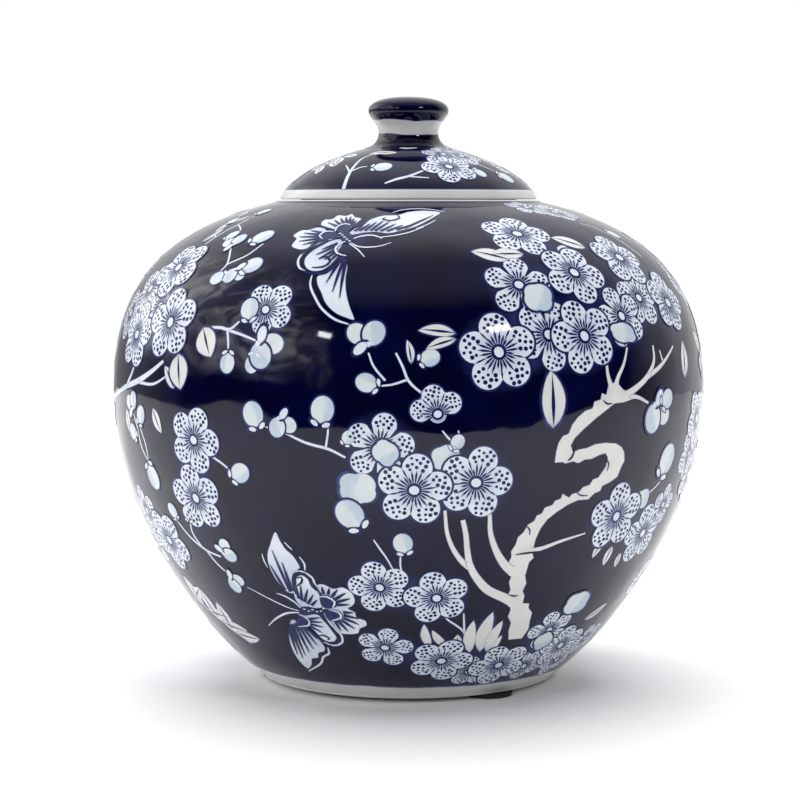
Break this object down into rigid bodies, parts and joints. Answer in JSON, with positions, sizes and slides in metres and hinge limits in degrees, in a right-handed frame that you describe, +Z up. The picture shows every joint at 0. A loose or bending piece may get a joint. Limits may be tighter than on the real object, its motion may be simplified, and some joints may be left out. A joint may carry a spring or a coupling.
{
  "type": "ginger jar",
  "caption": "Round blue and white porcelain ginger jar with a narrow foot ring, a wide mouth and a domed lift-off lid with a knob.",
  "frame": {"origin": "on the surface the jar stands on, under the jar's axis", "axes": "+Z up along the jar's axis; -Y is the front, towards the viewer"},
  "size_m": [0.24, 0.24, 0.2366],
  "materials": {
    "body_glaze": "clear high gloss glaze over cobalt painting on white porcelain",
    "lid_glaze": "clear high gloss glaze over cobalt painting on white porcelain",
    "knob_glaze": "clear high gloss glaze over cobalt, bare white at the neck",
    "foot_pad": "matt black foam rubber with a self-adhesive back"
  },
  "bodies": {
    "jar": {"jar_body": "body_glaze", "foot_pad_1": "foot_pad", "foot_pad_2": "foot_pad", "foot_pad_3": "foot_pad"},
    "lid": {"lid": "lid_glaze", "lid_knob": "knob_glaze"}
  },
  "joints": [
    {"name": "lid_lift", "type": "slide", "parent": "jar", "child": "lid", "axis": [0, 0, 1], "range_m": [0, 0.15]}
  ]
}
